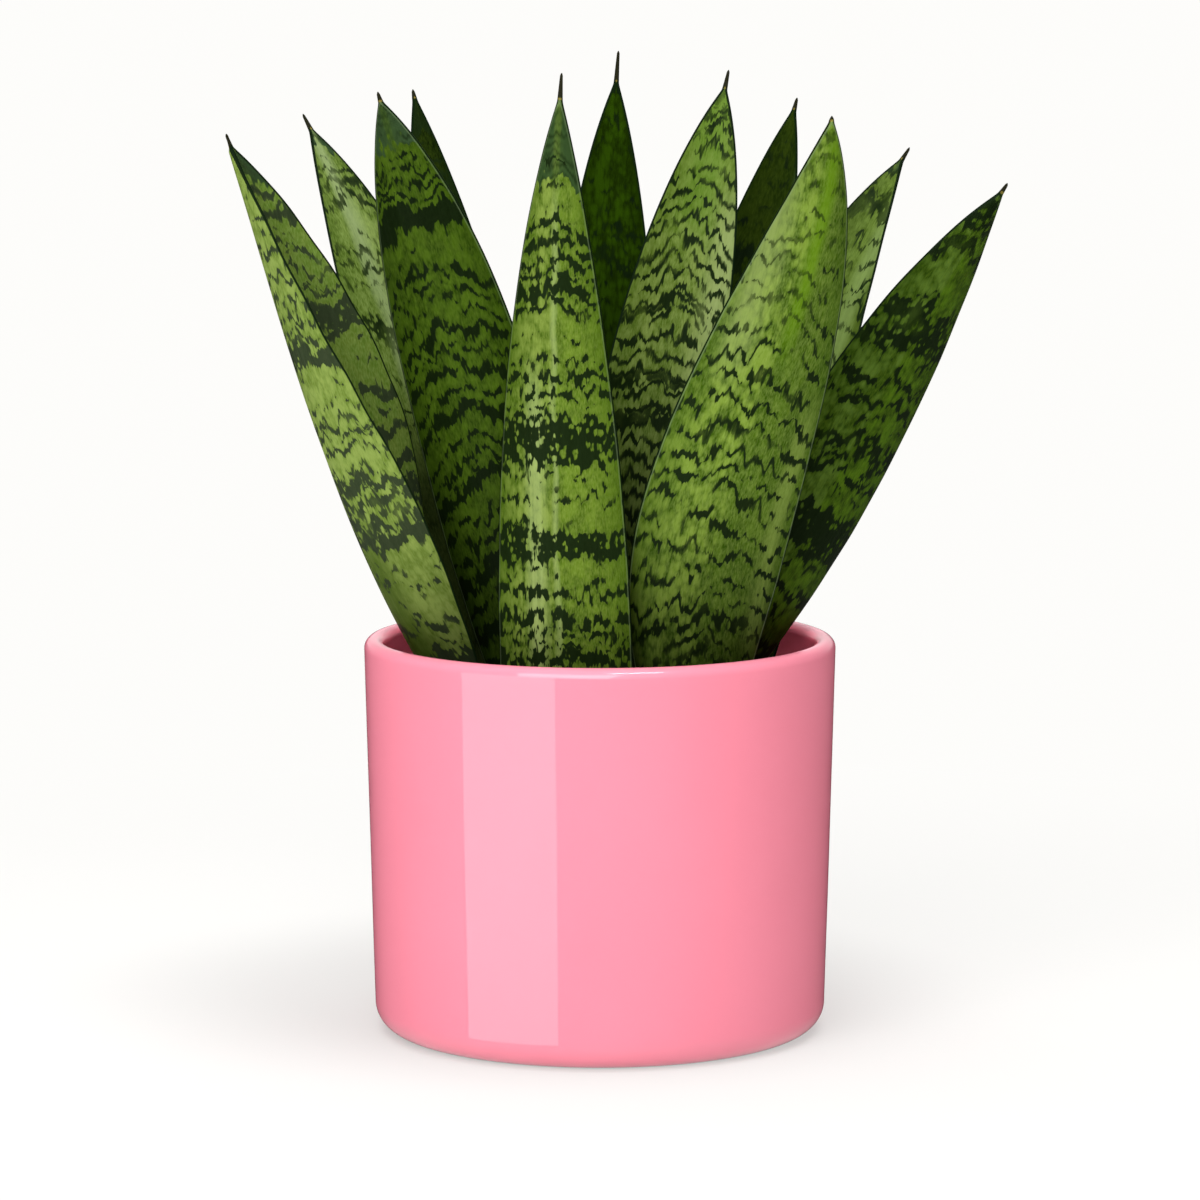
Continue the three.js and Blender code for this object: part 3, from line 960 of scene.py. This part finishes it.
def plain_green(skin, marks):
    """Green from deep to light, as the drifts and the patches have it, with a pale grain and
    deeper flanks."""
    look = skin.look
    light = look.light
    # painted light and shade: a left light green gives the half where x is below 0 its own green, lighter
    # or darker as the light falls on it
    if look.left_light:
        light = skin.blend(skin.x.rise(-0.5, 0.5), look.left_light, look.light)
    tone = skin.cloud + skin.streaks * 0.7 + skin.drift("blotch") * 1.3 + 0.65
    tone = tone - marks.dark.rise(-0.15, 0.5) * 0.5 - (marks.lobes - MEAN_LUMP) * 0.7
    green = skin.blend(tone, look.deep, light)
    green = skin.blend(skin.grain * 0.9 + 0.3, green, skin.blend(0.55, green, look.glow))
    # painted shade: the flanks deepen towards the margins, where the blade turns away from the light
    return skin.blend(skin.out.rise(*FLANK) * look.flank, green, look.deep)


def with_stripes(skin, green):
    """Adds the look's stripes, each of which runs along the blade and fades at its ends."""
    # painted highlights: the pale greyish stripes stand for sheen and for light where the blade faces the
    # lamps
    for middle, breadth, low, high, amount, colour in skin.look.stripes:
        beside = abs(skin.x - middle + skin.cloud * 1.5) / breadth
        inside = (1 - beside.rise(0.1, 1.1)) * skin.y.between(low, high, STRIPE_FADE)
        green = skin.blend(inside * (amount + skin.streaks * 0.3), green, colour)
    return green


def with_veils(skin, green, marks):
    """Adds the look's veils, each across the blade or across one side of it. A veil is deeper
    towards the margins and thinner on the keel."""
    for low, high, side, amount in skin.look.veils:
        inside = (marks.place + (marks.lobes - 0.4) * VEIL_FRAY).between(low, high, VEIL_FADE)
        if side:
            inside = inside * (skin.x * side).rise(-0.4, 0.4)
        depth = amount + skin.out * 0.35 - (1 - skin.reach.rise(0.4, 1.2)) * 0.3
        green = skin.blend(inside * depth, green, skin.look.veil)
        ghosts = cross_lines(skin, marks.place, GHOST_GAP, GHOST_THICK, skin.seed + 40.0)
        green = skin.blend(inside * ghosts * 0.7, green, skin.look.mark)
    return green


# %% [markdown]
# Over the green and its marks come the shade near the soil, where the leaves stand so close
# that hardly any light gets in, a hair-thin dark margin, on some leaves with a pale line
# inside it, and the brown spine at the tip with a small pale spot at its base. The skin is
# waxy but not glossy, a little smoother on the marks, and finely ribbed along the veins.

# %% Leaf finish
FOOT_SHADE = (0.001, 0.002, 0.0005)
MARGIN_DARK = (0.004, 0.010, 0.003)
MARGIN_PALE = (0.13, 0.18, 0.09)
SPINE_BROWN = (0.014, 0.014, 0.007)
SPINE_EYE = (0.24, 0.18, 0.04)
RIB_HEIGHT = 0.0001


def with_foot_shade(skin, colour):
    """Darkens the blade near the soil: only a share of the colour is left up to one height, and
    all of it from another."""
    left, dark_to, clear_from = skin.look.foot
    dim = (1.0 - (skin.y + skin.cloud * 6.0).rise(dark_to, clear_from)) * (1.0 - left)
    return skin.blend(dim, colour, FOOT_SHADE)


def with_edges(skin, colour):
    """Adds the margin's pale line and dark line, the spine and the spot at its base."""
    pale = skin.edge.rise(0.5, 0.7) * (1 - skin.edge.rise(0.8, 1.1)) * skin.look.pale_margin
    colour = skin.blend(pale, colour, MARGIN_PALE)
    colour = skin.blend(1 - skin.edge.rise(0.4, 0.62), colour, MARGIN_DARK)
    base = skin.spine_base
    eye = skin.y.between(base - 1.6, base - 1.0, 0.2) * (1 - skin.reach.rise(0.2, 0.6))
    colour = skin.blend(skin.y.rise(base - 1.6, base - 0.4), colour, SPINE_BROWN)
    return skin.blend(eye * 0.6, colour, SPINE_EYE)


def leaf_finish(name, look, shape, seed):
    """Green leaf skin with dark marks, a shaded foot, a dark margin and a brown spine."""
    skin = Skin(name, look, shape, seed)
    marks = leaf_marks(skin)
    in_mark = marks.dark.rise(0.42, 0.58)
    green = with_veils(skin, with_stripes(skin, plain_green(skin, marks)), marks)
    ink = skin.blend(skin.grain * 0.3 + skin.streaks * 0.3 + 0.3, look.mark, look.mark_worn)
    colour = skin.blend(in_mark * marks.ink, green, ink)
    skin.set("Base Color", with_edges(skin, with_foot_shade(skin, colour)))
    skin.set("Roughness", 0.44 + skin.grain * 0.05 - in_mark * 0.06)
    skin.set("Normal", skin.bump(skin.streaks + skin.grain * 0.15, RIB_HEIGHT))
    return skin.material


# %% [markdown]
# No two leaves are alike. Those in front are fresh green with bold bars. Some of those behind
# stand in the shade of the front ones and are painted nearly black, as painted shade. On some
# leaves the two halves are painted lighter or darker as the light falls on them, and pale
# stripes are painted highlights. So each leaf has a record of its look, in which only what
# differs from the usual leaf is said.

# %% The look of each leaf
def look(light, deep, bars, left_bars=(), left_light=None, stripes=(), veils=(),
         glow=(0.24, 0.33, 0.08), veil=(0.022, 0.044, 0.016),
         mark=(0.005, 0.011, 0.0020), mark_worn=(0.011, 0.022, 0.006), ink=0.85,
         arch=(0.2, 0.2), peak=0.0, bend=(0.45, 0.75), wander=6.0, zigzag=6.0,
         lines=0.8, gap=7.5, reach=5.0, thick=0.95, gaps=-0.1, fade=0.15,
         patch=(1.9, 3.4), lobes=0.75, breakup=1.1,
         pale_margin=0.0, foot=(0.5, 0.0, 40.0), flank=0.45, sheen=0.015):
    """How one leaf is coloured. All lengths are millimetres, and all heights are over the soil.
    bars: height, breadth and strength of each. left_bars and left_light are for the half where
    x is below 0, and left_light is painted light and shade: that half's light green, lighter or
    darker as the light falls on it. stripes: middle across, half breadth, lowest and highest
    point, strength and colour; the pale greyish ones are painted highlights. veils: lowest and
    highest point, side (0 for both) and strength. arch: how steeply the marks drop from the keel
    on the left and on the right, to which peak is added over the share bend of the height.
    lines, gap, reach, thick, gaps: strength, distance, waviness, thickness and number of breaks
    of the cross lines, and fade how much they fade to the tip. patch, lobes, breakup: size of
    the patches and how much they and slow clouds cut up marks.
    foot: share of the light that is left at the soil, up to one height, and all from another."""
    return SimpleNamespace(**locals())


# painted highlight: the pale green of the sheen stripes on the front middle leaf
SHEEN_GREEN = (0.31, 0.39, 0.145)

LOOKS = {
    # painted highlights: pale sheen stripes left of the keel and on it, and painted light on a lighter left
    # half
    "leaf_front_middle": look(
        (0.082, 0.142, 0.010), (0.038, 0.078, 0.003),
        [(158, 2.8, 0.74), (153, 3.2, 0.7), (148, 3.6, 0.72), (143.5, 2.5, 0.62), (138.5, 6.5, 0.78),
         (133, 3.5, 0.62), (115.5, 2.5, 0.56), (111, 3.6, 0.68), (105.5, 3.2, 0.6), (90, 17, 0.66),
         (97, 2.4, 0.8), (72, 3, 0.58), (57.5, 11.5, 0.68), (42.5, 4, 0.76), (34.5, 4.5, 0.76),
         (29.5, 3.2, 0.62), (22, 5, 0.78), (8, 9, 0.66)],
        left_light=(0.124, 0.182, 0.028), glow=(0.21, 0.28, 0.055), veil=(0.024, 0.050, 0.014),
        veils=[(171, 205, 0, 0.85)], lines=0.62, arch=(0.1, 0.1), peak=0.5, wander=3.0, zigzag=5.0,
        ink=1.2, pale_margin=0.35, patch=(2.1, 3.6), lobes=0.9, breakup=1.3, flank=0.6,
        stripes=[(-6.0, 4.6, -20.0, 108.0, 0.42, SHEEN_GREEN), (0.2, 1.2, -20.0, 165.0, 0.3, SHEEN_GREEN)]),
    # painted shade: a deeper green on the half where x is below 0
    "leaf_front_left": look(
        (0.175, 0.245, 0.052), (0.095, 0.150, 0.020),
        [(158, 2.4, 0.66), (148, 3, 0.74), (140, 2.6, 0.72), (133, 2.4, 0.72), (128.5, 2.2, 0.66),
         (124, 3.2, 0.68), (117, 8.5, 0.86), (101, 2, 0.56), (95, 2.2, 0.62), (90.5, 2.2, 0.64),
         (85.5, 2.6, 0.72), (75, 4.5, 0.8), (69, 6, 0.6), (63, 5, 0.6), (57.5, 6, 0.92), (43, 2.2, 0.6),
         (26, 6, 0.6), (12, 8, 0.7)],
        left_bars=[(166, 3, 0.8), (160, 4, 0.85), (149, 2.4, 0.68), (143, 2.4, 0.68), (137, 2.6, 0.7),
                   (128, 11, 0.66), (121.5, 4, 0.84), (100, 4, 0.78), (94.5, 3, 0.74), (88, 4, 0.76),
                   (78, 5, 0.76), (66, 10, 0.66), (34, 12, 0.6), (10, 12, 0.6)],
        veils=[(170, 190, -1, 0.75)], left_light=(0.072, 0.132, 0.014), lines=0.6, arch=(0.3, 0.0),
        peak=0.05, zigzag=7.0, ink=1.1, flank=0.0, patch=(2.1, 3.6), foot=(0.42, 0.0, 80.0),
        mark=(0.020, 0.031, 0.013), mark_worn=(0.042, 0.058, 0.026),
        stripes=[(6.0, 9.0, -20.0, 58.0, 0.75, (0.045, 0.082, 0.006)),
                 (-4.0, 6.0, 40.0, 120.0, 0.6, (0.040, 0.080, 0.003))]),
    # painted light: pale stripes by the right margin and on the left half, and a lighter left half
    "leaf_front_right": look(
        (0.052, 0.100, 0.006), (0.024, 0.058, 0.001),
        [(184, 3, 0.5), (34, 5, 0.6), (20, 6, 0.6), (6, 8, 0.64)],
        left_light=(0.126, 0.198, 0.023), glow=(0.21, 0.29, 0.06), lines=0.95, pale_margin=0.5,
        reach=4.5, gaps=-0.22, zigzag=7.0, fade=0.3, gap=7.6, thick=1.25, arch=(0.35, 0.4), ink=0.92,
        stripes=[(18.0, 5.0, 20.0, 100.0, 0.4, (0.21, 0.29, 0.06)),
                 (2.0, 3.5, 120.0, 190.0, 0.6, (0.10, 0.20, 0.006)),
                 (-12.0, 8.0, 110.0, 178.0, 0.5, (0.20, 0.26, 0.08))],
        foot=(0.22, 0.0, 85.0)),
    # painted light: a lighter left half
    "leaf_far_right": look(
        (0.042, 0.092, 0.003), (0.014, 0.034, 0.001),
        [(158, 14, 0.6), (146, 7, 0.66), (122, 16, 0.6), (107, 3, 0.7), (100, 3, 0.7), (85, 8, 0.66),
         (76, 3, 0.7), (59, 14, 0.78), (40, 4, 0.7), (20, 14, 0.7)],
        left_light=(0.055, 0.100, 0.013), glow=(0.085, 0.14, 0.012), veils=[(160, 170, 0, 0.6)],
        lines=0.7, arch=(0.25, 0.2), ink=1.1, thick=1.2, foot=(0.3, 5.0, 50.0),
        mark=(0.003, 0.007, 0.0012), mark_worn=(0.009, 0.018, 0.005)),
    "leaf_left_broad": look(
        (0.036, 0.072, 0.003), (0.015, 0.034, 0.001),
        [(175.5, 1.7, 0.74), (172, 1.7, 0.7), (168.5, 1.9, 0.74), (164.8, 1.9, 0.72), (158.5, 7, 1.05),
         (141, 3.6, 0.88), (136, 1.8, 0.66), (130.5, 2, 0.64), (124, 3.4, 0.82), (118.5, 2, 0.7),
         (112.5, 4, 0.82), (105, 2, 0.68), (99, 4.5, 0.82), (90, 2.4, 0.68), (84, 2.6, 0.7),
         (77, 5, 0.84), (68, 2.6, 0.7), (61, 3, 0.7), (52, 7, 0.84), (42, 3, 0.7), (34, 6, 0.82),
         (25, 3, 0.7), (12, 12, 0.82)],
        veils=[(180, 200, 0, 0.75)], arch=(0.55, 0.45), peak=-0.3, bend=(0.7, 0.82), wander=3.0,
        lines=0.55, gap=8.5, reach=7.0, thick=1.4, gaps=0.0, patch=(2.1, 3.6), ink=1.2,
        mark=(0.003, 0.007, 0.0012), mark_worn=(0.008, 0.016, 0.004), glow=(0.08, 0.13, 0.015),
        pale_margin=0.35, foot=(0.25, 10.0, 110.0)),
    # painted shade: near-black greens, for a leaf in the shade of the leaves in front
    "leaf_left_dark": look(
        (0.007, 0.014, 0.0015), (0.003, 0.007, 0.001),
        [(190, 20, 0.8), (150, 30, 0.7), (100, 30, 0.7), (50, 30, 0.7)],
        glow=(0.03, 0.05, 0.005), sheen=0.0,
        stripes=[(7.5, 5.0, 120.0, 190.0, 0.8, (0.022, 0.045, 0.004))]),
    # painted highlight: a pale sheen stripe along the keel, and painted light on a lighter half where x is
    # below 0
    "leaf_left_rear": look(
        (0.080, 0.125, 0.022), (0.045, 0.080, 0.008),
        [(169, 2, 0.6), (165, 2.8, 0.76), (160.5, 3.5, 0.8), (156.5, 3, 0.76), (142, 2.6, 0.68),
         (137.5, 2.8, 0.7), (132, 2.2, 0.6), (115, 10, 0.6)],
        veils=[(176, 190, 0, 0.8)], left_light=(0.115, 0.165, 0.040), lines=0.6, arch=(0.3, -0.25),
        stripes=[(0.5, 3.5, 60.0, 182.0, 0.6, (0.21, 0.27, 0.12))], foot=(0.12, 62.0, 112.0)),
    # painted shade: near-black greens, for a leaf in the shade of the leaves in front
    "leaf_rear_middle": look(
        (0.015, 0.038, 0.0008), (0.005, 0.012, 0.0003),
        [(195, 10, 0.6), (150, 5, 0.5), (140, 6, 0.56), (90, 20, 0.6)],
        peak=0.4, glow=(0.016, 0.04, 0.002), foot=(0.3, 90.0, 150.0), sheen=0.0,
        mark=(0.003, 0.007, 0.002), mark_worn=(0.005, 0.012, 0.004)),
    # painted light: the pale stripe on the half where x is below 0
    "leaf_right_pale": look(
        (0.125, 0.175, 0.036), (0.055, 0.095, 0.008),
        [(192, 4, 0.7), (186, 3, 0.76), (181, 2.4, 0.66), (128, 3.4, 0.76), (105, 5, 0.78), (92, 7, 0.8)],
        lines=1.1, gap=5.8, reach=4.0, gaps=-0.3, arch=(0.25, 0.5), peak=0.2, ink=0.88, thick=1.15,
        breakup=0.8, foot=(0.2, 40.0, 125.0),
        stripes=[(1.0, 12.0, 150.0, 205.0, 0.6, (0.075, 0.150, 0.012)),
                 (-13.0, 9.0, 80.0, 160.0, 0.5, (0.27, 0.33, 0.13))]),
    # painted shade and painted sheen: near-black greens for a leaf in the shade of those in front, and a
    # pale sheen stripe near one margin
    "leaf_right_dark": look(
        (0.012, 0.022, 0.0015), (0.006, 0.013, 0.001), [(170, 6, 0.5), (130, 20, 0.7), (80, 30, 0.7)],
        lines=0.7, glow=(0.03, 0.05, 0.006), foot=(0.3, 60.0, 120.0), sheen=0.0,
        mark=(0.003, 0.006, 0.002), mark_worn=(0.006, 0.012, 0.005),
        stripes=[(-9.0, 3.0, 150.0, 182.0, 0.7, (0.06, 0.10, 0.035))]),
    # painted light: the pale stripe on the half where x is below 0
    "leaf_right_rear": look(
        (0.070, 0.112, 0.017), (0.034, 0.060, 0.005), [(155, 6, 0.74), (130, 3, 0.5)],
        veils=[(167, 180, 0, 0.75)], glow=(0.12, 0.18, 0.035), lines=1.0, gap=6.5, gaps=-0.3,
        arch=(0.15, 0.35), foot=(0.3, 60.0, 110.0),
        stripes=[(-8.0, 5.0, 60.0, 160.0, 0.6, (0.15, 0.215, 0.065))]),
}

SEED_STEP = 31.7

for number, (name, blade) in enumerate(blades.items()):
    skin_name = name.replace("leaf", "skin")
    paint(blade, leaf_finish(skin_name, LOOKS[name], LEAVES[name], number * SEED_STEP))

# %% [markdown]
# The plant stands on a large pale floor that fades into a plain white backdrop. Under and
# behind the pot a soft shadow is painted into the floor's glow, where the plant keeps the
# room's light off it. Other rays than the camera's see it as a dull plain one, so that it
# sends less light back on to the pot, as where a photographer lays dark cards just outside
# the picture. It isn't seen in reflections at all, so the tall lamp's reflection runs down
# the whole wall.

# %% Floor
HALF_FLOOR = 20.0  # metres
WHITE = (0.985, 0.979, 0.960)
FLOOR_GLOW = 0.585
FLOOR_SHADE = 0.25
FLOOR_DULL = (0.75, 0.745, 0.735)
# painted shadow: the share of the glow left at its core, its middle on the floor and the radii over which
# it fades
DUSK = 0.76
DUSK_MIDDLE = (-25.0, 55.0)
DUSK_RADII = (60.0, 165.0)
BACKDROP_RADII = (200.0, 520.0)


def far_from(middle, x, y):
    """Distance of the point x, y from a middle on the floor."""
    across, deep = x - middle[0], y - middle[1]
    return (across * across + deep * deep) ** 0.5


def floor_finish():
    """Pale matt floor whose soft shadows fade into the plain white of the backdrop."""
    shaded = tuple(FLOOR_SHADE * value for value in WHITE)
    ground = Finish("pale_floor", roughness=0.9, Base_Color=shaded, Specular_IOR_Level=0.0)
    x, y, _ = ground.place()
    # painted shadow: the floor's glow is dimmed under and behind the pot
    dusk = tuple(DUSK * value for value in WHITE)
    light = ground.blend(far_from(DUSK_MIDDLE, x, y).rise(*DUSK_RADII), dusk, WHITE)
    ground.set("Emission Color", light)
    ground.set("Emission Strength", FLOOR_GLOW)
    near = Signal(ground, ground.shader.outputs[0])
    backdrop = ground.node("Emission", sockets={"Color": WHITE, "Strength": 1.0})
    far = far_from((0.0, 0.0), x, y).rise(*BACKDROP_RADII)
    shown = ground.node("MixShader", sockets={0: far, 1: near, 2: backdrop})
    dull = ground.node("BsdfDiffuse", sockets={"Color": FLOOR_DULL})
    camera_ray = ground.node("LightPath")
    mixed = ground.node("MixShader", sockets={0: camera_ray, 1: dull, 2: shown})
    ground.plug(ground.nodes["Material Output"].inputs["Surface"], mixed)
    return ground.material


floor_mesh = bpy.data.meshes.new("studio_floor")
corners = [(-1, -1), (1, -1), (1, 1), (-1, 1)]
floor_mesh.from_pydata([(x * HALF_FLOOR, y * HALF_FLOOR, 0) for x, y in corners], [], [range(4)])
floor_mesh.materials.append(floor_finish())
floor = bpy.data.objects.new("studio_floor", floor_mesh)
floor.visible_glossy = False
bpy.context.scene.collection.objects.link(floor)
floor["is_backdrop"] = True

# %% [markdown]
# Four soft lamps light the plant. The broad front lamp, above the camera and a little to the
# left, gives nearly all the light and shade, and the sky lamp lights tips and rim from above.
# The other two are there for their reflections only: a tall lamp on the left gives the pot
# its wide upright band, and a small one above on the right the rim's short bright line.

# %% Lamps
def lamp(name, azimuth, rise, distance, size, glow, target):
    """A rectangular soft lamp of size (width, height) in metres that faces the target. azimuth
    is its bearing in degrees from the front, positive to the right, rise its height angle, and
    glow its brightness: its power is glow times pi times its area."""
    light = bpy.data.lights.new(name, "AREA")
    light.shape = "RECTANGLE"
    light.size, light.size_y = size
    light.energy = glow * math.pi * size[0] * size[1]
    turn, tilt = math.radians(azimuth), math.radians(rise)
    level = math.cos(tilt)
    way = Vector((math.sin(turn) * level, -math.cos(turn) * level, math.sin(tilt)))
    holder = bpy.data.objects.new(name, light)
    holder.location = Vector(target) + way * distance
    holder.rotation_euler = (-way).to_track_quat("-Z", "Y").to_euler()
    bpy.context.scene.collection.objects.link(holder)
    return holder


lamp("front_lamp", -17.0, 30.0, 1.6, (1.3, 1.1), 6.1, (0, 0, 0.15))
tall_lamp = lamp("tall_lamp", -45.0, 0.0, 1.3, (1.15, 0.8), 3.0, (0, 0, -0.05))
tall_lamp.visible_diffuse = False
sky_lamp = lamp("sky_lamp", 0.0, 90.0, 1.3, (1.6, 1.6), 4.0, (0, 0, 0.12))
sky_lamp.visible_glossy = False
rim_lamp = lamp("rim_lamp", 27.0, 62.0, 1.2, (0.42, 0.14), 26.0, (0, 0, 0.12))
rim_lamp.visible_diffuse = False

# %% [markdown]
# The room is white, but not equally bright for all. The camera sees the plain backdrop. Gloss
# mirrors the room above the horizon, dimmer towards the left and the right, where the studio
# is dark, and what lies steeply below it, in place of the floor. All else gets a weak even
# light, which keeps the shadows soft.

# %% Room
ROOM_LIGHT = 0.31
ROOM_SHINE = 1.05
SIDE_SHINE = 0.12
FLOOR_SHINE = 0.9

world = bpy.data.worlds.new("room")
world.use_nodes = True
bpy.context.scene.world = world
room = Graph(world.node_tree)
across, _, up = room.parts(room.node("TexCoord"))
above = up.straight(0.0, 0.08, 0.0, ROOM_SHINE)
below = up.straight(-0.2, -0.6, 0.0, FLOOR_SHINE)
shine = above * abs(across).straight(0.1, 0.7, 1.0, SIDE_SHINE) + below
glossy_ray = room.node("LightPath", output="Is Glossy Ray")
camera_ray = room.node("LightPath", output="Is Camera Ray")
light = room.node("Mix", sockets={0: glossy_ray, 2: ROOM_LIGHT, 3: shine})
light = room.node("Mix", sockets={0: camera_ray, 2: light, 3: 1.0})
backdrop = room.nodes["Background"]
room.plug(backdrop.inputs["Color"], WHITE)
room.plug(backdrop.inputs["Strength"], light)
bpy.context.scene.view_settings.view_transform = "Standard"

# %% Sizes and finish
low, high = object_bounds()
sizes = {"cad": [list(cad_low), list(cad_high)], "visual": [list(low), list(high)]}
print("frame box", sizes["cad"], "dressed box", sizes["visual"])
